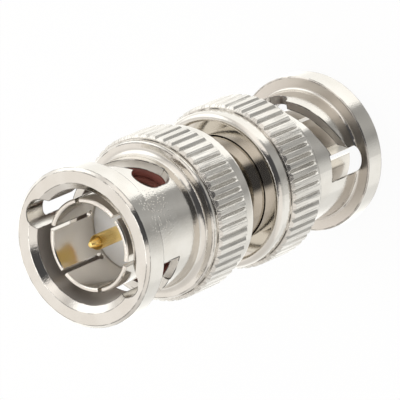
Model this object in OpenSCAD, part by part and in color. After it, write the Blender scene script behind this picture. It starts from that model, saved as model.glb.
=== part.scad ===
// Straight double plug adapter with two bayonet coupling nuts.
// It stands on the lower nut's front ring: origin at the centre of that face, +Z along the axis.
// Each end is drawn once in its own frame, with its front at z = 0 and its rear towards +z. The
// lower end is used as drawn, and the upper end is the same thing turned half a turn about X.
// Diameters grow from the inside out: contact, barrel room, nut bore, tube, spring stack, knurl.

/* [Whole part] */
// Length over both coupling nuts
total_len = 33.7; // [30.8:0.1:44]
// Turn of the upper nut about the axis at rest, degrees
upper_turn = 36.9; // [-180:0.1:180]
// Turn of the lower nut about the axis at rest, degrees
lower_turn = -112.1; // [-180:0.1:180]

/* [Contacts] */
// Outside of the slotted contact sleeve, for an 8.1 to 8.15 mm jack
contact_d = 8.16; // [7.4:0.02:9]
// Wall of the slotted contact sleeve
contact_wall = 0.43; // [0.3:0.01:0.5]
// Number of slots in the sleeve
finger_n = 6; // [4:2:8]
// Width of a sleeve slot
finger_gap = 0.42; // [0.25:0.01:0.6]
// Depth of the sleeve's tip behind the nut's front face
contact_tip = 0.85; // [0.5:0.05:1.5]
// Depth of the insulator's face behind the nut's front face
insulator_face = 6.3; // [5:0.05:6.8]
// Diameter of the centre pin
pin_d = 1.32; // [1.1:0.01:1.6]
// Depth of the pin's tip behind the nut's front face
pin_tip = 1.3; // [0.6:0.05:1.9]
// Length of the pin's rounded nose
pin_nose = 1; // [0.6:0.05:1.4]
// Length of the contact's shank inside the tube
shank_len = 2.25; // [1.5:0.05:3]
// Length of the gasket at the bottom of the barrel's room
gasket_t = 1.3; // [0.6:0.05:1.4]

/* [Coupling nut] */
// Length of one coupling nut
nut_len = 15.05; // [14.4:0.05:15.3]
// Radial room round the contact for the jack's barrel
barrel_room = 0.92; // [0.8:0.01:1.2]
// Wall of the waist that the cam slots are cut in
waist_wall = 0.75; // [0.6:0.05:1]
// How far the front ring stands out from the waist
ring_rise = 1.15; // [0.8:0.05:1.6]
// Width of the front ring
ring_w = 2.2; // [1.8:0.05:2.6]
// How much wider than the bore the mouth is at the front face, on the radius
mouth_flare = 0.6; // [0.4:0.05:0.7]
// Wall of the rear collar round the back ring
collar_wall = 0.7; // [0.5:0.05:1]
// Length of the knurled band
knurl_len = 3.9; // [3:0.1:4.2]
// Number of grooves round the knurl
knurl_n = 52; // [36:1:60]
// Depth of a knurl groove
knurl_depth = 0.22; // [0.15:0.01:0.3]
// Width of the rear collar behind the knurl
collar_len = 1.5; // [1.1:0.05:1.8]

/* [Bayonet slots] */
// Width of the entry grooves, for a 1.98 mm lug
groove_w = 2.9; // [2.1:0.05:3.1]
// Depth of the entry grooves' rear wall behind the front face
groove_len = 5.95; // [5.4:0.05:6.2]
// Axial width of the cam slots
cam_w = 2.4; // [2.1:0.05:2.6]
// Depth of the steep ramp's middle, a quarter of the way round the slot
steep_depth = 4.9; // [4.6:0.05:5.1]
// Depth of the shallow ramp's middle, two thirds of the way round
shallow_depth = 6.25; // [6.1:0.05:6.4]
// Turn from the entry groove to the lock pocket, degrees
lock_turn = 91; // [84:1:98]
// Diameter of the lock pocket's round ends
pocket_d = 2.6; // [2.3:0.05:2.8]
// Depth of the lock pocket's front end, where the lug locks
pocket_front = 4.4; // [4.1:0.05:4.7]

/* [Body tube] */
// Radial gap between the tube and the nut's bore
tube_gap = 0.25; // [0.15:0.01:0.4]
// Depth of the snap ring's groove
clip_depth = 0.45; // [0.3:0.05:0.5]
// Wall left between that groove and the contact's shank
shank_wall = 0.45; // [0.3:0.05:0.5]

/* [Spring stack] */
// How far a nut can be pulled forward against its spring
travel = 1.3; // [0.8:0.05:1.5]
// Radial room for the stack between the tube and the nut
stack_room = 1.2; // [1.1:0.05:1.6]
// Thickness of the spring's strip
strip_t = 0.25; // [0.15:0.01:0.3]
// Number of waves round the spring
waves = 3; // [3:1:5]
// Thickness of the two washers
washer_t = 0.35; // [0.25:0.05:0.4]
// Thickness of the snap ring
clip_t = 0.6; // [0.4:0.05:0.7]
// Angle left open in the snap ring, degrees
clip_gap = 40; // [20:5:90]
// Thickness of the back ring
back_t = 0.8; // [0.6:0.05:1]
// How deep the back ring lies behind the nut's rear rim
rim_recess = 0.5; // [0.3:0.05:0.7]

/* [Hidden] */
$fn = 96;
run_gap = 0.05;                           // radial running clearance
edge = 0.1;                               // small edge break
over = 1;                                 // how far a cutting shape stands past what it cuts

// across one end, from the axis outwards
pin_r = pin_d / 2;
pin_shank_r = pin_r + 0.22;
pin_collar_r = pin_r + 0.64;
contact_r = contact_d / 2;
inner_r = contact_r - contact_wall;       // bore of the sleeve, round the insulator's head
core_r = inner_r - 0.45;                  // bore round the insulator's stem
bore_r = contact_r + barrel_room;
gasket_in = contact_r + 0.2;
gasket_out = bore_r - 0.2;
body_r = bore_r - tube_gap;
clip_seat = body_r - clip_depth;          // floor of the snap ring's groove
shank_r = clip_seat - shank_wall;         // the contact's shank in the tube
waist_r = bore_r + waist_wall;
ring_r = waist_r + ring_rise;
mouth_r = bore_r + mouth_flare;
groove_r = groove_w / 2;
groove_reach = waist_r + 0.45;            // the entry grooves break out of the waist
chamber_r = body_r + stack_room;          // the nut's chamber round the spring stack
clip_r = chamber_r - 0.25;
spring_in = body_r + 0.3;
spring_out = clip_r - 0.1;
back_r = chamber_r + 0.23;                // the back ring's seat in the nut
collar_r = back_r + collar_wall;
root_r = collar_r + 0.15;
knurl_r = root_r + knurl_depth;           // 7.25, the widest place

// along one end, from the nut's rear rim forwards
back_z = nut_len - rim_recess;            // rear face of the back ring
seat_z = back_z - back_t;                 // its front face
slide_z = seat_z - washer_t;              // front face of the slide washer
spring_h = travel + strip_t + 0.15;       // closed, the spring keeps 0.15 mm to spare
spring_z = slide_z - spring_h;            // front end of the spring
fixed_z = spring_z - washer_t;            // front face of the seat washer
stop_z = fixed_z - clip_t;                // front face of the snap ring, the nut's stop
nose_z = stop_z - 0.5;                    // front end of the tube
gasket_z = nose_z - gasket_t;
collar_z = gasket_z - 0.35;               // front of the contact's collar inside the gasket
shank_end = nose_z + shank_len;           // inner end of the contact's shank
head_part = 0.6;                          // share of the room before the gasket that the head takes
head_end = insulator_face + head_part * (gasket_z - insulator_face);
pin_seat = insulator_face + 0.15;         // the pin's shoulder, just inside the insulator
pin_collar = 1;                           // half length of the pin's collar
mid = total_len / 2;

// the nut's outside
knurl_z1 = nut_len - collar_len;
knurl_z0 = knurl_z1 - knurl_len;
knurl_ends = 0.3;                         // length of the knurl's end chamfers
shoulder_z = knurl_z0 - 0.6;
shoulder_fillet = 0.6;
ring_fillet = 0.25;
ring_chamfer = 0.25;
rim_round = 0.55;
lead_len = 0.45;                          // length of the mouth's cone

// cam slot: two straight ramps, each tilted about the radius at its middle
steep_at = 0.22 * lock_turn;
steep_tilt = 25;
shallow_at = 0.68 * lock_turn;
shallow_tilt = 15.2;
pocket_r = pocket_d / 2;
pocket_rear = shoulder_z - shoulder_fillet - 0.35;
slot_lap = 1;                             // slots are cut from inside the bore outwards
cut_from = bore_r - slot_lap;
cut_deep = waist_r - bore_r + 1.6 * slot_lap;

nickel = [0.78, 0.77, 0.74];
bright = [0.72, 0.69, 0.63];
steel = [0.6, 0.6, 0.62];
gold = [0.85, 0.65, 0.25];
white = [0.93, 0.93, 0.94];
rust = [0.45, 0.16, 0.12];

// puts one end's piece at the top of the part, turned end for end
module upper() {
    translate([0, 0, total_len]) rotate([180, 0, 0]) children();
}

// an outline of [r, z] points of the lower half, joined to its mirror image in the upper half
function both_ends(half) =
    concat(half, [for (i = [len(half) - 1:-1:0]) [half[i].x, total_len - half[i].y]]);

// a plain turned ring from z0 to z1 with its edges broken by c
module turned_ring(r_in, r_out, z0, z1, c) {
    rotate_extrude() polygon([[r_in + c, z0], [r_out - c, z0], [r_out, z0 + c], [r_out, z1 - c],
        [r_out - c, z1], [r_in + c, z1], [r_in, z1 - c], [r_in, z0 + c]]);
}

// fills the inside corner at [x, y] with a radius r, above it (up = 1) or below it (up = -1)
module corner_fill(x, y, r, up) {
    translate([x, y - (up < 0 ? r : 0)]) difference() {
        square(r);
        translate([r, up < 0 ? 0 : r]) circle(r = r);
    }
}

// ---- coupling nut ----

module nut_outline() {
    polygon([[0, 0], [ring_r - ring_chamfer, 0], [ring_r, ring_chamfer], [ring_r, ring_w - edge],
        [ring_r - edge, ring_w], [0, ring_w]]);
    translate([0, ring_w - edge]) square([waist_r, shoulder_z - ring_w + 2 * edge]);
    corner_fill(waist_r, ring_w, ring_fillet, 1);
    corner_fill(waist_r, shoulder_z, shoulder_fillet, -1);
    polygon([[0, shoulder_z], [collar_r - 0.15, shoulder_z], [collar_r, shoulder_z + 0.15],
        [collar_r, nut_len - rim_round], [0, nut_len - rim_round]]);
    translate([0, nut_len - rim_round - edge]) square([collar_r - rim_round, rim_round + edge]);
    translate([collar_r - rim_round, nut_len - rim_round]) circle(r = rim_round);
}

// lead-in, bore, spring chamber and the back ring's seat
module nut_inside() {
    slope = (mouth_r - bore_r) / lead_len;
    polygon([[0, -0.5], [mouth_r + slope / 2, -0.5], [bore_r, lead_len], [bore_r, stop_z],
        [chamber_r, stop_z], [chamber_r, seat_z], [back_r, seat_z], [back_r, nut_len - edge],
        [back_r + over, nut_len - edge + over], [0, nut_len - edge + over]]);
}

// straight knurl: V grooves in a band whose ends are chamfered
module knurl() {
    intersection() {
        translate([0, 0, knurl_z0]) linear_extrude(knurl_len) difference() {
            circle(r = knurl_r);
            for (i = [0:knurl_n - 1])
                rotate(i * 360 / knurl_n) translate([root_r, 0]) rotate(-45) square(1);
        }
        rotate_extrude() polygon([[0, knurl_z0 - over], [root_r - over - edge, knurl_z0 - over],
            [knurl_r + edge, knurl_z0 + knurl_ends], [knurl_r + edge, knurl_z1 - knurl_ends],
            [root_r - over - edge, knurl_z1 + over], [0, knurl_z1 + over]]);
    }
}

// all that lies behind (side = 1) or in front of (side = -1) a ramp plane through depth z at angle a
module ramp_side(a, z, tilt, side) {
    rotate(a) translate([0, 0, z]) rotate([tilt, 0, 0])
        translate([0, -3 * ring_r, side > 0 ? 0 : -3 * ring_r]) cube([2, 6, 3] * ring_r);
}

// one cam slot: entry groove at angle 0, ramp, and the lock pocket at lock_turn
module cam_slot() {
    translate([0, 0, -over]) {
        translate([groove_reach - groove_r, 0, 0]) cylinder(r = groove_r, h = groove_len + over);
        translate([over, -groove_r, 0])
            cube([groove_reach - groove_r - over, groove_w, groove_len + over]);
    }
    intersection() {
        rotate_extrude(angle = lock_turn) translate([cut_from, ring_w])
            square([cut_deep, shoulder_z - ring_w]);
        ramp_side(steep_at, steep_depth + cam_w / 2, steep_tilt, -1);
        ramp_side(shallow_at, shallow_depth + cam_w / 2, shallow_tilt, -1);
        union() {
            ramp_side(steep_at, steep_depth - cam_w / 2, steep_tilt, 1);
            ramp_side(shallow_at, shallow_depth - cam_w / 2, shallow_tilt, 1);
        }
    }
    rotate(lock_turn) translate([cut_from, 0, 0]) {
        for (z = [pocket_front + pocket_r, pocket_rear - pocket_r])
            translate([0, 0, z]) rotate([0, 90, 0]) cylinder(r = pocket_r, h = cut_deep);
        translate([0, -pocket_r, pocket_front + pocket_r])
            cube([cut_deep, pocket_d, pocket_rear - pocket_front - pocket_d]);
    }
}

module nut() {
    difference() {
        union() {
            rotate_extrude() nut_outline();
            knurl();
        }
        rotate_extrude() nut_inside();
        for (a = [0, 180]) rotate(a) cam_slot();
    }
}

// ---- rings, washers and spring ----

module back_ring() turned_ring(body_r + run_gap, back_r, seat_z, back_z, edge);

module seat_washer() turned_ring(body_r, chamber_r - run_gap, fixed_z, spring_z, edge / 2);

module slide_washer() turned_ring(body_r + run_gap, clip_r - run_gap, slide_z, seat_z, edge / 2);

module snap_ring() {
    rotate([0, 0, clip_gap / 2]) rotate_extrude(angle = 360 - clip_gap)
        translate([clip_seat, stop_z]) square([clip_r - clip_seat, clip_t]);
}

// wave spring: one wave is a bent strip drawn across the radius at its trough, cut to a sector of
// the ring that laps its neighbours by a degree on the flat crests
module wave_spring() {
    mid_r = (spring_in + spring_out) / 2;
    low = mid_r * sin(36 / waves);            // half width of the trough's flat
    high = mid_r * sin(144 / waves);          // where the strip reaches its crest
    far = 2 * spring_out;
    rise = spring_h - strip_t;
    under = [[-far, rise], [-high, rise], [-low, 0], [low, 0], [high, rise], [far, rise]];
    strip = concat(under, [for (i = [5:-1:0]) under[i] + [0, strip_t]]);
    translate([0, 0, spring_z]) for (w = [0:waves - 1]) rotate(w * 360 / waves) intersection() {
        rotate(-180 / waves - 1) rotate_extrude(angle = 360 / waves + 2)
            translate([spring_in, 0]) square([spring_out - spring_in, spring_h]);
        rotate([90, 0, 90]) linear_extrude(spring_out + 1) polygon(strip);
    }
}

// ---- contacts, gasket and insulator ----

module contact() {
    slot_end = insulator_face - 0.6;
    difference() {
        rotate_extrude() polygon([[inner_r + 0.1, contact_tip], [contact_r - 0.13, contact_tip],
            [contact_r, contact_tip + 0.13], [contact_r, collar_z], [gasket_in, collar_z],
            [gasket_in, nose_z], [shank_r, nose_z], [shank_r, shank_end], [core_r, shank_end],
            [core_r, head_end], [inner_r, head_end], [inner_r, contact_tip + 0.1]]);
        for (i = [0:finger_n - 1])
            rotate(i * 360 / finger_n + 11.6) translate([inner_r - 0.3, 0, 0]) {
                translate([0, -finger_gap / 2, 0]) cube([contact_wall + 0.6, finger_gap, slot_end]);
                translate([0, 0, slot_end]) rotate([0, 90, 0])
                    cylinder(d = finger_gap + 0.25, h = contact_wall + 0.6);
            }
    }
}

module gasket() {
    e = 0.12;
    rotate_extrude() {
        translate([gasket_in, gasket_z + e]) square([gasket_out - gasket_in, gasket_t - e]);
        translate([gasket_in, gasket_z]) square([gasket_out - gasket_in - e, gasket_t]);
        translate([gasket_out - e, gasket_z + e]) circle(r = e);
    }
}

module insulator() {
    rotate_extrude() polygon([[pin_shank_r, insulator_face], [inner_r - 0.1, insulator_face],
        [inner_r, insulator_face + 0.1], [inner_r, head_end], [core_r, head_end], [core_r, mid],
        [pin_collar_r, mid], [pin_collar_r, mid - pin_collar], [pin_shank_r, mid - pin_collar]]);
}

// double-ended pin with rounded tips, shoulders inside the insulators and a collar between them
module centre_pin() {
    color(gold) rotate_extrude() polygon(both_ends([[0, pin_tip], [0.3 * pin_r, pin_tip],
        [0.58 * pin_r, pin_tip + 0.12 * pin_nose], [0.82 * pin_r, pin_tip + 0.42 * pin_nose],
        [0.94 * pin_r, pin_tip + 0.7 * pin_nose], [pin_r, pin_tip + pin_nose], [pin_r, pin_seat],
        [pin_shank_r, pin_seat], [pin_shank_r, mid - pin_collar],
        [pin_collar_r, mid - pin_collar]]));
}

// ---- body ----

module body_tube() {
    color(bright) rotate_extrude() polygon(both_ends([[core_r, shank_end], [shank_r, shank_end],
        [shank_r, nose_z], [body_r - edge, nose_z], [body_r - edge, stop_z], [clip_seat, stop_z],
        [clip_seat, fixed_z], [body_r, fixed_z]]));
}

module lower_nut() color(nickel) rotate(lower_turn) nut();
module upper_nut() color(nickel) upper() rotate(-upper_turn) nut();
module lower_back_ring() color(bright) back_ring();
module upper_back_ring() color(bright) upper() back_ring();
module lower_snap_ring() color(steel) snap_ring();
module upper_snap_ring() color(steel) upper() snap_ring();
module lower_seat_washer() color(steel) seat_washer();
module upper_seat_washer() color(steel) upper() seat_washer();
module lower_wave_spring() color(steel) wave_spring();
module upper_wave_spring() color(steel) upper() wave_spring();
module lower_slide_washer() color(steel) slide_washer();
module upper_slide_washer() color(steel) upper() slide_washer();
module lower_contact() color(nickel) contact();
module upper_contact() color(nickel) upper() contact();
module lower_gasket() color(rust) gasket();
module upper_gasket() color(rust) upper() gasket();
module lower_insulator() color(white) insulator();
module upper_insulator() color(white) upper() insulator();

body_tube();
centre_pin();
upper_nut();
lower_nut();
upper_back_ring();
lower_back_ring();
upper_snap_ring();
lower_snap_ring();
upper_seat_washer();
lower_seat_washer();
upper_wave_spring();
lower_wave_spring();
upper_slide_washer();
lower_slide_washer();
upper_contact();
lower_contact();
upper_gasket();
lower_gasket();
upper_insulator();
lower_insulator();
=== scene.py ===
# %% [markdown]
# # A double plug adapter in nickel plate
#
# The real thing is a turned brass adapter with a bayonet plug at both ends, plated with bright
# nickel. Its solids arrive from the CAD model as a fixed frame. This lesson gives them their
# finishes and sets a camera and soft light round them. The scene is in metres, and +Z runs along
# the adapter's axis, towards the upper plug. Sections and finishes are easier to read in
# millimetres, so they are given in those.

# %% Load the frame
import math

import bmesh
import bpy
from mathutils import Matrix, Vector


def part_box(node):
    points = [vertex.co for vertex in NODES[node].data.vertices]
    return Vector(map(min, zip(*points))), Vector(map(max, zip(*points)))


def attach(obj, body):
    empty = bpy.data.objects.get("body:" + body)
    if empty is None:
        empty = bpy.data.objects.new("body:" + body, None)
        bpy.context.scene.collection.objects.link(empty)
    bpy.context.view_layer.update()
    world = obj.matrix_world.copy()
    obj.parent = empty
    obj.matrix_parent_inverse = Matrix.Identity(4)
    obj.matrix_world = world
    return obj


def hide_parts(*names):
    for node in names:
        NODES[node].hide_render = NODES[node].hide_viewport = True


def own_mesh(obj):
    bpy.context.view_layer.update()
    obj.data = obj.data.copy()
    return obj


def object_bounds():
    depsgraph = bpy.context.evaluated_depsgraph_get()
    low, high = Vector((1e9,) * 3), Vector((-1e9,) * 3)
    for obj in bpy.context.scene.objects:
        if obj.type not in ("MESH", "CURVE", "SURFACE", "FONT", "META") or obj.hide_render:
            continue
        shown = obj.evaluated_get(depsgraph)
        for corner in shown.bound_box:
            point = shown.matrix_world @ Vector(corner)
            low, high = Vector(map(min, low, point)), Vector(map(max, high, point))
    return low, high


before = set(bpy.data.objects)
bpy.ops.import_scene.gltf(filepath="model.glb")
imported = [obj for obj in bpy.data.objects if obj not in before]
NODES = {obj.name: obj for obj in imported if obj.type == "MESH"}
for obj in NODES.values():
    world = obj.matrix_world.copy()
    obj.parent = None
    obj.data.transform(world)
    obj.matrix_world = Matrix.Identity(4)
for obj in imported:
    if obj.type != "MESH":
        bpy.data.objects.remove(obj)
cad_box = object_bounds()
MM = 0.001
HEIGHT = cad_box[1][2] - cad_box[0][2]
MIDDLE = HEIGHT / 2
print("nodes:", len(NODES), " height in mm:", round(HEIGHT / MM, 2))

# %% [markdown]
# ## The camera
#
# The adapter stands on its lower nut, but it is looked at as if it lay down, so the camera is both
# raised and rolled. It stands far away with a long lens, which keeps the two nuts nearly the same
# size. A rotation from azimuth, elevation and roll says this better than a matrix of nine numbers:
# the camera first turns to face the axis, then rolls about its own line of sight.

# %% Place the camera
AIM = Vector((-0.15 * MM, 0, 17.35 * MM))
DISTANCE = 524.5 * MM
ELEVATION = math.radians(49.83)
ROLL = math.radians(-113.2)
LENS, FILM = 557.5, 36                    # focal length and width of the film in mm

camera = bpy.data.objects.new("camera", bpy.data.cameras.new("camera"))
camera.data.lens = LENS
camera.data.sensor_width = FILM
camera.data.clip_start = 0.01
camera.data.clip_end = 10
away = Vector((0, -math.cos(ELEVATION), math.sin(ELEVATION)))
raised = Matrix.Rotation(math.pi / 2 - ELEVATION, 4, "X")
rolled = Matrix.Rotation(ROLL, 4, "Z")
camera.matrix_world = Matrix.Translation(AIM + DISTANCE * away) @ raised @ rolled
bpy.context.collection.objects.link(camera)
bpy.context.scene.camera = camera
bpy.context.scene.view_settings.view_transform = "Standard"
print("camera at", [round(c, 4) for c in camera.matrix_world.translation])

# %% [markdown]
# ## Writing shader maths as Python
#
# A material is a graph of nodes, and sums drawn as nodes are hard to read. So one small class wraps
# an output socket and overloads the operators, and `a * b + 1` adds the Math nodes by itself. A
# second class holds a node tree and adds any other node from its type, its settings and what goes
# into its sockets. Its smooth steps, up with `between` and down with `below`, are the masks' edges.

# %% Fields and graphs
class Field:
    """A value that varies over a surface: an output socket that can be used in sums."""

    def __init__(self, graph, socket):
        self.graph, self.socket = graph, socket

    def __add__(self, other):
        return self.graph.math("ADD", self, other)

    def __sub__(self, other):
        return self.graph.math("SUBTRACT", self, other)

    def __rsub__(self, other):
        return self.graph.math("SUBTRACT", other, self)

    def __mul__(self, other):
        return self.graph.math("MULTIPLY", self, other)

    def __truediv__(self, other):
        return self.graph.math("DIVIDE", self, other)

    def __abs__(self):
        return self.graph.math("ABSOLUTE", self)

    __radd__ = __add__
    __rmul__ = __mul__


class Graph:
    """A node tree that grows as values are worked out."""

    def __init__(self, tree):
        self.tree = tree
        tree.nodes.clear()

    def add(self, kind, settings=None, sockets=None, out=0):
        node = self.tree.nodes.new("ShaderNode" + kind)
        for key, value in (settings or {}).items():
            if key == "stops":
                ramp = node.color_ramp
                while len(ramp.elements) < len(value):
                    ramp.elements.new(0.5)
                for element, (place, colour) in zip(ramp.elements, value):
                    element.position = place
                    element.color = (*colour, 1)
            else:
                setattr(node, key, value)
        for key, value in (sockets or {}).items():
            if isinstance(value, Field):
                self.tree.links.new(value.socket, node.inputs[key])
            else:
                node.inputs[key].default_value = value
        return Field(self, node.outputs[out]) if len(node.outputs) else node

    def math(self, operation, a, b=0.0):
        return self.add("Math", {"operation": operation}, {0: a, 1: b})

    def parts(self, vector):
        """The x, y and z of a vector, as three fields."""
        return [self.add("SeparateXYZ", None, {0: vector}, out=axis) for axis in "XYZ"]

    def between(self, value, low, high, to_low=0.0, to_high=1.0):
        """A smooth step of value from low to high, given out from to_low to to_high."""
        settings = {"interpolation_type": "SMOOTHSTEP"}
        return self.add("MapRange", settings, {0: value, 1: low, 2: high, 3: to_low, 4: to_high})

    def below(self, value, low, high):
        """1 where value is under low, and a smooth step down to 0 at high."""
        return self.between(value, low, high, 1.0, 0.0)

    def blend(self, share, a, b):
        """Colour a where share is 0, and b where it is 1."""
        return self.add("Mix", {"data_type": "RGBA"}, {0: share, 6: a, 7: b}, out=2)


def new_paint(name):
    """A new material, and the empty graph of its shader."""
    paint = bpy.data.materials.new(name)
    paint.use_nodes = True
    return paint, Graph(paint.node_tree)


def rgb(red, green, blue):
    return (red, green, blue, 1)


print("shader helpers ready")

# %% [markdown]
# ## Soft studio light
#
# Bright plating has hardly a colour of its own: it shows what stands round it. So such a small part
# stands in a white tent, and the lens looks in through the tent's mouth. The tent is the world's
# shader here, and it reads nothing but a ray's direction.
#
# Most of it is white cloth. Its brightness changes with the azimuth, in one way below the horizon
# and in another above it, since each turned surface mirrors one cone of directions, and those steps
# draw the long light and dark bands. Two bright panels hang in front of the cloth, one low and one
# near the top, and give the part its highlights. The mouth is a dark strip that runs up past the
# lens. Chamfers, fillets and the corners between the nuts mirror it back, which gives the part its
# crisp dark lines.

# %% Plan the tent
CLOTH = 1.40                              # the brightest cloth
# An azimuth in degrees, and the cloth's brightness there as a share of the brightest.
LOW_CLOTH = [(-180, 0.76), (-166, 0.78), (-146, 0.78), (-126, 0.54), (-106, 0.27), (-88, 0.36),
             (-66, 0.29), (-57, 0.32), (-50, 1.00), (-26, 0.96), (-6, 0.92), (14, 0.88),
             (34, 0.86), (54, 0.98), (74, 1.00), (112, 1.00), (134, 0.85), (154, 0.66)]
HIGH_CLOTH = [(-180, 0.66), (-146, 0.76), (-126, 0.72), (-60, 0.88), (-40, 0.90), (-24, 0.72),
              (-4, 0.42), (16, 0.42), (36, 0.54), (60, 0.66), (90, 0.78), (116, 0.60), (150, 0.56)]
LOW_TINT, HIGH_TINT = (1, 1, 0.98), (1, 0.965, 0.93)
# An azimuth and an elevation, a panel's inner and outer radius, all in degrees, and its light.
PANELS = [(20, 22, 14, 34, rgb(1.15, 1.15, 1.14)), (90, 80, 10, 22, rgb(2.4, 2.4, 2.4))]
# A direction has length 1, so its parts towards +X, +Y and +Z say where the cloth changes.
HORIZON = (-0.32, 0.25)
MOUTH_AT, MOUTH_HALF = -0.04, (0.25, 0.42)
MOUTH_BACK, MOUTH_FOOT, MOUTH_TOP = (-0.12, 0.02), (-0.42, -0.1), (0.955, 0.99)
DARK = rgb(0.055, 0.055, 0.058)
BACKDROP = 1 / CLOTH                      # the lens itself sees plain white behind the part
print("cloth stops:", len(LOW_CLOTH), "low and", len(HIGH_CLOTH), "high, panels:", len(PANELS))

# %% Build the tent
world = bpy.data.worlds.new("tent")
bpy.context.scene.world = world
world.use_nodes = True
tent = Graph(world.node_tree)
direction = tent.add("TexCoord", out="Generated")
east, north, up = tent.parts(direction)
turn = tent.math("ARCTAN2", north, east) / (2 * math.pi) + 0.5


def cloth(levels, tint):
    """The tent's brightness all the way round, from azimuths in degrees."""
    stops = [((angle + 180) / 360, [level * part for part in tint]) for angle, level in levels]
    return tent.add("ValToRGB", {"stops": stops}, {0: turn})


def spot(azimuth, elevation, inner, outer):
    """1 in the directions within inner degrees of one direction, fading to 0 at outer degrees."""
    azimuth, elevation, inner, outer = map(math.radians, (azimuth, elevation, inner, outer))
    nearness = (east * (math.cos(elevation) * math.cos(azimuth))
                + north * (math.cos(elevation) * math.sin(azimuth)) + up * math.sin(elevation))
    return tent.between(nearness, math.cos(outer), math.cos(inner))


walls = tent.blend(tent.between(up, *HORIZON), cloth(LOW_CLOTH, LOW_TINT), cloth(HIGH_CLOTH, HIGH_TINT))
for *where, light in PANELS:
    walls = tent.blend(spot(*where), walls, light)
mouth = tent.below(abs(east - MOUTH_AT), *MOUTH_HALF) * tent.below(north, *MOUTH_BACK)
mouth = mouth * tent.between(up, *MOUTH_FOOT) * tent.below(up, *MOUTH_TOP)
sky = tent.blend(mouth, walls, DARK)
to_lens = tent.add("LightPath", out="Is Camera Ray")
seen = tent.blend(to_lens, sky, rgb(BACKDROP, BACKDROP, BACKDROP))
tent.add("OutputWorld", None, {0: tent.add("Background", None, {0: seen, 1: CLOTH})})
print("nodes in the tent's shader:", len(world.node_tree.nodes))

# %% [markdown]
# ## Lamp and floor
#
# One soft lamp behind the part gives the floor a faint shadow. The floor is left out of
# reflections, because a part that stands so low would mirror little else. It glows for the lens
# alone, so that it looks white while it still takes the shadow.

# %% Lamp and floor
LAMP_AT, LAMP_SIZE, LAMP_WATTS = (0.25, 0.2, 0.35), 0.16, 0.35
FLOOR_HALF = 1.5
FLOOR_DROP = 0.02 * MM                    # keeps the floor clear of the ring that stands on it
FLOOR_GLOW = 0.94                         # the rest is left to take the shadow

lamp = bpy.data.objects.new("key", bpy.data.lights.new("key", "AREA"))
lamp.data.size = LAMP_SIZE
lamp.data.energy = LAMP_WATTS
lamp.location = LAMP_AT
to_part = Vector((0, 0, MIDDLE)) - lamp.location
lamp.rotation_euler = to_part.to_track_quat("-Z", "Y").to_euler()
lamp.visible_glossy = False
bpy.context.collection.objects.link(lamp)

floor_mesh = bmesh.new()
bmesh.ops.create_grid(floor_mesh, x_segments=1, y_segments=1, size=FLOOR_HALF)
floor = bpy.data.objects.new("floor", bpy.data.meshes.new("floor"))
floor_mesh.to_mesh(floor.data)
floor_mesh.free()
bpy.context.collection.objects.link(floor)
floor.location.z = -FLOOR_DROP
floor.visible_glossy = False
floor_paint, ground = new_paint("floor")
matte = ground.add("BsdfDiffuse", None, {0: rgb(0.85, 0.85, 0.85)})
glow = ground.add("Emission", None, {0: rgb(1, 1, 1), 1: 1.0})
lifted = ground.add("LightPath", out="Is Camera Ray") * FLOOR_GLOW
ground.add("OutputMaterial", None, {0: ground.add("MixShader", None, {0: lifted, 1: matte, 2: glow})})
floor.data.materials.append(floor_paint)
print("floor below the part by", round(-floor.location.z / MM, 3), "mm")

# %% [markdown]
# ## A coat in the making
#
# Every finish starts from where a point lies and ends in one shader, so a coat holds both ends. It
# gives a point's place in millimetres and its distance from the axis and from the adapter's middle.
# Its maker sets the tint, the share of metal, the roughness and the height of the skin, and `dry`
# turns these into the material.

# %% Coats
class Coat:
    """A material in the making. Its maker sets its tint, metal, rough and height (in mm)."""

    def __init__(self, name):
        self.paint, self.graph = new_paint(name)
        metres = self.graph.add("TexCoord", out="Object")
        scaling = {"operation": "SCALE"}
        self.place = self.graph.add("VectorMath", scaling, {"Vector": metres, "Scale": 1 / MM})
        self.x, self.y, self.z = self.graph.parts(self.place)
        self.radius = self.graph.math("SQRT", self.x * self.x + self.y * self.y)
        self.from_middle = abs(self.z - MIDDLE / MM)

    def noise(self, per_mm, detail, place=None):
        """Noise with per_mm cells to a mm, read at the point's own place or at another one."""
        sockets = {"Vector": place or self.place, "Scale": per_mm, "Detail": detail}
        return self.graph.add("TexNoise", None, sockets)

    def dry(self, bump_sockets=None, shader_sockets=None):
        """The finished material."""
        sockets = {"Strength": 1.0, "Distance": 1.0, "Height": self.height * MM}
        bump = self.graph.add("Bump", None, {**sockets, **(bump_sockets or {})})
        sockets = {"Base Color": self.tint, "Metallic": self.metal, "Roughness": self.rough}
        sockets = {**sockets, "Normal": bump, **(shader_sockets or {})}
        self.graph.add("OutputMaterial", None, {0: self.graph.add("BsdfPrincipled", None, sockets)})
        return self.paint


print("coats measure in units of", MM, "m")

# %% [markdown]
# ## Plated metal
#
# The nuts, the tube, the contacts and the pin are turned from brass bar and plated. Three things
# make the finish. The lathe's fine rings blur reflections in one direction only: they are a noise
# that reads the distance from the axis and the height, so they run round the part on cylinders and
# faces alike. The plating bath leaves a grain as fine as dust, which sparkles where a reflection
# turns from light to dark. And the plate rounds each edge a little, which the Bevel node does to
# the normals.
#
# A nut shows more than plain plate, so `plated` also takes a list of marks. A mark is a function
# that changes a coat where it finds its own kind of surface.

# %% Plate
LATHE, DUST, CLOUD = (9.0, 4.0), (7.0, 3.0), (0.45, 3.0)    # cells to a mm, and detail
SOFT_EDGE = 0.08                                           # an edge's radius in mm


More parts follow.
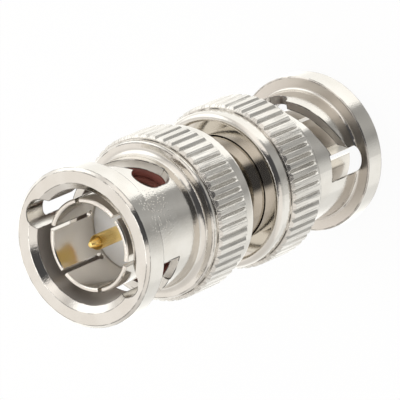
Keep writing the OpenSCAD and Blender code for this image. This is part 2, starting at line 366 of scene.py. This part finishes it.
def plated(name, colour, worn, rough, rings=0.0004, grain=0.0035, marks=()):
    """A plated metal. rings and grain are the depths of the lathe's rings and the bath's grain."""
    coat = Coat(name)
    patchy = coat.graph.between(coat.noise(*CLOUD), 0.35, 0.7)
    round_axis = coat.graph.add("CombineXYZ", None, {0: coat.radius, 2: coat.z})
    uneven_grain = coat.noise(*DUST) * grain * (patchy * 0.8 + 0.6)
    coat.tint = coat.graph.blend(patchy, colour, worn)
    coat.metal = 1.0
    coat.rough = patchy * 0.05 + rough
    coat.height = coat.noise(*LATHE, round_axis) * rings + uneven_grain
    for mark in marks:
        mark(coat)
    rounded = coat.graph.add("Bevel", {"samples": 6}, {0: SOFT_EDGE * MM})
    return coat.dry({"Normal": rounded})


print("edges are rounded by", SOFT_EDGE, "mm")

# %% [markdown]
# ## The nuts' slots and bore
#
# The surfaces of a nut are told apart by their radius, their height and the way they face, so no mask
# is drawn by hand. Inside the waist's skin, a face that looks round the axis can only be the wall of a
# slot, because the rest is turned. The mill leaves it duller than the turned skin, and duller still on
# the inner part of the ramps, which look along the axis. The bore gets little plate, so it is made
# dull. Its colour is also darkened and browned as painted shade for the shaded recess.
#
# Each mask fades between two values, and such a pair is in millimetres where it is a radius or a
# height. The height is measured from the adapter's middle, so one mask serves both nuts.

# %% Slots and bore
RING_BACK = MIDDLE / MM - 2.2             # the height of the back of a front ring
RAMP_END = (RING_BACK - 0.35, RING_BACK - 0.3)
WAIST_SKIN, RAMP_INSIDE = (6.25, 6.35), (5.76, 5.80)
BORE_FROM, BORE_TO = (4.48, 4.50), (5.03, 5.05)
LOOKS_ROUND, LOOKS_ALONG = (0.08, 0.2), (0.7, 0.8)
WALL_ROUGHER, RAMP_ROUGHER, BORE_ROUGHER = 0.14, 0.25, 0.28
# The first is painted shade: a darker, brownish colour for the shaded bore. The second is the share of
# the bore that is not metal.
BORE_SHADE_TINT, BORE_BARE = rgb(0.58, 0.545, 0.51), 0.35


def milled_slots(coat):
    graph = coat.graph
    nx, ny, nz = graph.parts(graph.add("TexCoord", out="Normal"))
    sideways = abs(coat.x * ny - coat.y * nx) / coat.radius
    wall = graph.between(sideways, *LOOKS_ROUND) * graph.below(coat.radius, *WAIST_SKIN)
    ramp = graph.between(abs(nz), *LOOKS_ALONG) * graph.below(coat.radius, *RAMP_INSIDE)
    ramp = ramp * graph.below(coat.from_middle, *RAMP_END)
    coat.rough = coat.rough + wall * WALL_ROUGHER + ramp * RAMP_ROUGHER


def dull_bore_painted_shade(coat):
    graph = coat.graph
    inside_bore = graph.between(coat.radius, *BORE_FROM) * graph.below(coat.radius, *BORE_TO)
    # Painted shade: the bore's colour is darkened and browned for the shade in the recess. Less metal
    # and more roughness make it dull.
    coat.tint = graph.blend(inside_bore, coat.tint, BORE_SHADE_TINT)
    coat.metal = 1.0 - inside_bore * BORE_BARE
    coat.rough = coat.rough + inside_bore * BORE_ROUGHER


print("backs of the front rings:", round(RING_BACK, 2), "mm from the middle")

# %% [markdown]
# ## Ring backs and knurl
#
# The back of each front ring is frosted and a little darker than the skin. The knurl is pressed in
# by a toothed wheel, and fine lines run along its flanks. They are a noise too: it reads the way
# round the knurl in full and the height hardly at all, which draws its cells out into lines.

# %% Backs and knurl
BACK_NEAR, BACK_FACE = (0.05, 0.1), (5.8, 6.0)      # the distance from a ring's back, and the radius
BACK_TINT, BACK_ROUGHER = rgb(0.63, 0.59, 0.54), 0.22
KNURL_ROOT, KNURL_MEAN = (6.93, 7.0), 7.2
KNURL_ROUGHER = 0.17
LINE_NOISE, LINE_STRETCH = (6.5, 3.0), 0.05
LINE_TINT, LINE_SHARE, LINE_DEPTH = rgb(0.35, 0.34, 0.32), 0.45, 0.018


def frosted_backs(coat):
    graph = coat.graph
    frosted = graph.below(abs(coat.from_middle - RING_BACK), *BACK_NEAR)
    frosted = frosted * graph.between(coat.radius, *BACK_FACE)
    coat.tint = graph.blend(frosted, coat.tint, BACK_TINT)
    coat.rough = coat.rough + frosted * BACK_ROUGHER


def rolled_knurl(coat):
    graph = coat.graph
    rolled = graph.between(coat.radius, *KNURL_ROOT)
    around = graph.math("ARCTAN2", coat.y, coat.x) * KNURL_MEAN
    drawn_out = graph.add("CombineXYZ", None, {0: around, 1: coat.z * LINE_STRETCH})
    drawn = coat.noise(*LINE_NOISE, drawn_out)
    lines = graph.between(drawn, 0.5, 0.66) * rolled
    coat.tint = graph.blend(lines * LINE_SHARE, coat.tint, LINE_TINT)
    coat.rough = coat.rough + rolled * KNURL_ROUGHER
    coat.height = coat.height + rolled * drawn * LINE_DEPTH


print("knurl begins at a radius of", KNURL_ROOT[0], "mm")

# %% [markdown]
# ## Pits and painted edge shade
#
# The upper nut hung in the bath by a hook, and round it the plate ran and left pits, one in each
# cell of a Voronoi texture.
#
# Thin dark lines of painted shade follow the edges. They stand in for the shade and dark reflections
# along rounded edges. A wide Bevel turns the normal near an edge, so the angle between that normal and
# the flat one tells how near the edge is, and a noise breaks the lines up. The knurl and the nuts' rear
# ends have none.

# %% Pits and painted edge shade
HOOK, HOOK_REACH = (0.3, -6.4, HEIGHT / MM - 3.4), (1.0, 3.4)
PITS_PER_MM, PIT, PIT_DEPTH = 4.5, (0.1, 0.4), 0.03
EDGE_SHADE_BEVEL = 0.16
EDGE_SHADE_BEND, EDGE_SHADE_NOISE, EDGE_SHADE_BREAKS = (0.006, 0.035), (0.9, 4.0), (0.40, 0.56)
# Painted shade: the colour and share of the thin dark lines drawn along the edges.
EDGE_SHADE_TINT, EDGE_SHADE_SHARE = rgb(0.04, 0.037, 0.035), 0.85
SMOOTH_SKIN, REAR_END = (6.92, 6.95), (2.2, 2.8)


def hook_pits(coat):
    graph = coat.graph
    distance = {"operation": "DISTANCE"}
    to_hook = graph.add("VectorMath", distance, {0: coat.place, 1: HOOK}, out="Value")
    cells = {"Vector": coat.place, "Scale": PITS_PER_MM}
    pits = graph.below(graph.add("TexVoronoi", None, cells, out="Distance"), *PIT)
    coat.height = coat.height + pits * graph.below(to_hook, *HOOK_REACH) * PIT_DEPTH


# Painted shade: darkens the colour in thin, broken lines along the edges, for the shade and dark
# reflections of rounded edges.
def painted_edge_shade(coat):
    graph = coat.graph
    flat = graph.add("NewGeometry", out="True Normal")
    wide = graph.add("Bevel", {"samples": 8}, {0: EDGE_SHADE_BEVEL * MM})
    product = {"operation": "DOT_PRODUCT"}
    bend = 1 - graph.add("VectorMath", product, {0: wide, 1: flat}, out="Value")
    edge_shade = graph.between(bend, *EDGE_SHADE_BEND) * graph.between(coat.noise(*EDGE_SHADE_NOISE), *EDGE_SHADE_BREAKS)
    edge_shade = edge_shade * graph.below(coat.radius, *SMOOTH_SKIN) * graph.between(coat.from_middle, *REAR_END)
    coat.tint = graph.blend(edge_shade * EDGE_SHADE_SHARE, coat.tint, EDGE_SHADE_TINT)


NUT_MARKS = (milled_slots, dull_bore_painted_shade, frosted_backs, rolled_knurl, hook_pits, painted_edge_shade)
print("marks on the nuts:", [mark.__name__ for mark in NUT_MARKS])

# %% [markdown]
# ## The five metals
#
# The tube and the contacts are plated like the nuts, but they have rings of other depths and none
# of the nuts' marks. The pin is gold plated over the same brass. The hidden rings and springs are
# spring steel.

# %% Plate the metals
nickel = plated("nickel_plate", rgb(0.76, 0.735, 0.69), rgb(0.72, 0.69, 0.64), 0.07,
                grain=0.006, marks=NUT_MARKS)
tube_nickel = plated("turned_nickel", rgb(0.70, 0.665, 0.61), rgb(0.65, 0.615, 0.56), 0.06,
                     rings=0.0006, grain=0.0008)
contact_nickel = plated("contact_nickel", rgb(0.81, 0.77, 0.71), rgb(0.76, 0.72, 0.66), 0.13,
                        rings=0.0003, grain=0.001)
gold = plated("gold_plate", rgb(0.96, 0.72, 0.29), rgb(0.88, 0.63, 0.22), 0.2,
              rings=0.0005, grain=0.001)
spring_steel = plated("spring_steel", rgb(0.60, 0.60, 0.61), rgb(0.52, 0.52, 0.53), 0.25)
print("metals:", [m.name for m in (nickel, tube_nickel, contact_nickel, gold, spring_steel)])

# %% [markdown]
# ## White insulator and red gasket
#
# The insulator is turned from a white fluoropolymer, which lets light in a little way, and the
# gasket is moulded from red-brown silicone with a fine matt skin.

# %% Soft finishes
def moulded(name, colour, dark, rough, grain_depth, scatter):
    """A plastic or a rubber: its colours, its roughness, its grain in mm and how it lets light in."""
    coat = Coat(name)
    grain = coat.noise(10.0, 3.0)
    coat.tint = coat.graph.blend(coat.graph.between(coat.noise(0.8, 3.0), 0.3, 0.7), colour, dark)
    coat.metal = 0.0
    coat.rough = coat.graph.between(grain, 0.3, 0.7, rough - 0.05, rough + 0.08)
    coat.height = grain * grain_depth
    reach = (0.4 * MM, 0.4 * MM, 0.4 * MM)
    return coat.dry(shader_sockets={
        "Subsurface Weight": scatter, "Subsurface Radius": reach, "Subsurface Scale": 1.0})


white_insulator = moulded("white_insulator", rgb(0.93, 0.94, 0.95), rgb(0.90, 0.91, 0.93),
                          0.42, 0.0006, 0.3)
red_gasket = moulded("red_gasket", rgb(0.27, 0.080, 0.062), rgb(0.22, 0.064, 0.051),
                     0.5, 0.001, 0.1)

FINISH = {"nut": nickel, "back_ring": tube_nickel, "body_tube": tube_nickel, "contact": contact_nickel,
          "centre_pin": gold, "insulator": white_insulator, "gasket": red_gasket,
          "snap_ring": spring_steel, "seat_washer": spring_steel, "slide_washer": spring_steel,
          "wave_spring": spring_steel}
for name, solid in NODES.items():
    finish = FINISH[name.removeprefix("upper_").removeprefix("lower_")]
    for material_slot in solid.material_slots:
        material_slot.material = finish
print("finished nodes:", len(NODES))

# %% [markdown]
# ## Rings that are spun
#
# A ring needs only its section. The section is drawn as one face whose points are (radius, height),
# its chosen corners are rounded, and its outline is turned once about the axis. A ring with rounded
# corners is shaded smooth. The same functions make the gaskets, the pin and the springs, and the
# last one puts a finished shape in the place of the CAD solid that it stands for.

# %% Spin and place a ring
def spun(section, steps, rounded=(), corner=0.0):
    """A closed ring about the Z axis, from points (radius, height) in metres."""
    shape = bmesh.new()
    corners = [shape.verts.new((radius, 0, height)) for radius, height in section]
    shape.faces.new(corners)
    if rounded:
        bmesh.ops.bevel(shape, geom=[corners[i] for i in rounded], offset=corner, segments=4,
                        offset_type="OFFSET", profile=0.5, affect="VERTICES", material=-1)
    bmesh.ops.delete(shape, geom=list(shape.faces), context="FACES_ONLY")
    bmesh.ops.spin(shape, geom=list(shape.verts) + list(shape.edges), cent=(0, 0, 0), axis=(0, 0, 1),
                   dvec=(0, 0, 0), angle=2 * math.pi, steps=steps, use_merge=True)
    bmesh.ops.remove_doubles(shape, verts=list(shape.verts), dist=1e-7)
    for face in shape.faces:
        face.smooth = bool(rounded)
    return shape


def placed(section, side):
    """A section in mm, with depths behind one plug's front, as radii and heights in metres."""
    if side == "lower":
        return [(radius * MM, depth * MM) for radius, depth in section]
    return [(radius * MM, HEIGHT - depth * MM) for radius, depth in section]


def stand_in(name, shape, finish, cad_name):
    """The finished shape as a piece of the core, in place of a CAD solid."""
    bmesh.ops.recalc_face_normals(shape, faces=list(shape.faces))
    piece = bpy.data.objects.new(name, bpy.data.meshes.new(name))
    shape.to_mesh(piece.data)
    shape.free()
    piece.data.materials.append(finish)
    bpy.context.collection.objects.link(piece)
    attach(piece, "core")
    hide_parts(cad_name)
    print(name, "faces:", len(piece.data.polygons))
    return piece


# %% [markdown]
# ## The gaskets
#
# A moulded gasket has no sharp corner, and its thin lip covers the shoulder that it is stretched
# over. The upper one is the lower one turned end for end.

# %% Gaskets
LIP_FRONT, LIP_BACK, SEAT = 8.36, 8.57, 10.25       # mm behind the plug's front
BORE, STEM, RIM = 4.09, 4.30, 4.80                  # radii in mm
SOFT_CORNER = 0.09 * MM
GASKET = [(BORE, LIP_FRONT), (RIM, LIP_FRONT), (RIM, SEAT), (STEM, SEAT), (STEM, LIP_BACK),
          (BORE, LIP_BACK)]

for side in ("lower", "upper"):
    ring = spun(placed(GASKET, side), 128, rounded=(1, 2), corner=SOFT_CORNER)
    stand_in(side + "_gasket_ring", ring, red_gasket, side + "_gasket")

# %% [markdown]
# ## The pin
#
# Each end of the pin is turned to a slender cone with a rounded tip, so that it finds its socket,
# and a collar in the middle holds it between the insulators. One end's outline is drawn from its
# tip to the middle, and the other end's is the same one turned end for end. The outline closes
# along the axis, where the spin leaves a loose edge that bounds nothing, so that edge goes.

# %% Gold pin
PIN = [(0.0, 1.08), (0.21, 1.08), (0.61, 1.84), (0.66, 2.00), (0.66, 6.45), (0.88, 6.45),
       (0.88, 15.85), (1.30, 15.85)]                # radius and depth in mm, from the tip
TIPS = (1, 2 * len(PIN) - 2)                        # the two rounded corners of the outline
pin_shape = spun(placed(PIN, "lower") + placed(reversed(PIN), "upper"), 72, rounded=TIPS,
                 corner=SOFT_CORNER)
loose = [edge for edge in pin_shape.edges if edge.is_wire]
bmesh.ops.delete(pin_shape, geom=loose, context="EDGES")
pin = stand_in("turned_pin", pin_shape, gold, "centre_pin")
pin.data.set_sharp_from_angle(angle=math.radians(30))
print("  loose edges removed:", len(loose))

# %% [markdown]
# ## The wave springs
#
# A wave spring is a flat ring bent into three waves, with a flat at each trough and each crest. It is
# pressed nearly flat when its nut is pulled forward, which a rigid solid can't show, so the ring is
# made here. The strip is spun flat, and then each point is lifted.

# %% Wave springs
STRIP_THICK, STRIP_WIDE = 0.25 * MM, 0.55 * MM
WAVES = 3
FLAT = 0.1                                          # half of a trough's flat, as a share of a wave


def wave_lift(point):
    """0 in the troughs and 1 on the crests, from a point's angle round the axis."""
    turns = math.atan2(point.y, point.x) / (2 * math.pi)
    along = turns * WAVES % 1
    share = (min(along, 1 - along) - FLAT) / (0.5 - 2 * FLAT)
    share = min(max(share, 0.0), 1.0)
    return share * share * (3 - 2 * share)


for side in ("lower", "upper"):
    low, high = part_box(side + "_wave_spring")
    outer, bottom, tall = high[0], low[2], high[2] - low[2]
    inner = outer - STRIP_WIDE
    ring = spun([(inner, bottom), (outer, bottom), (outer, bottom + STRIP_THICK),
                 (inner, bottom + STRIP_THICK)], 144)
    for point in ring.verts:
        lift = wave_lift(point.co)
        point.co.z += (tall - STRIP_THICK) * (lift if side == "lower" else 1 - lift)
    strip = stand_in(side + "_wave_strip", ring, spring_steel, side + "_wave_spring")
    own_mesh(strip)
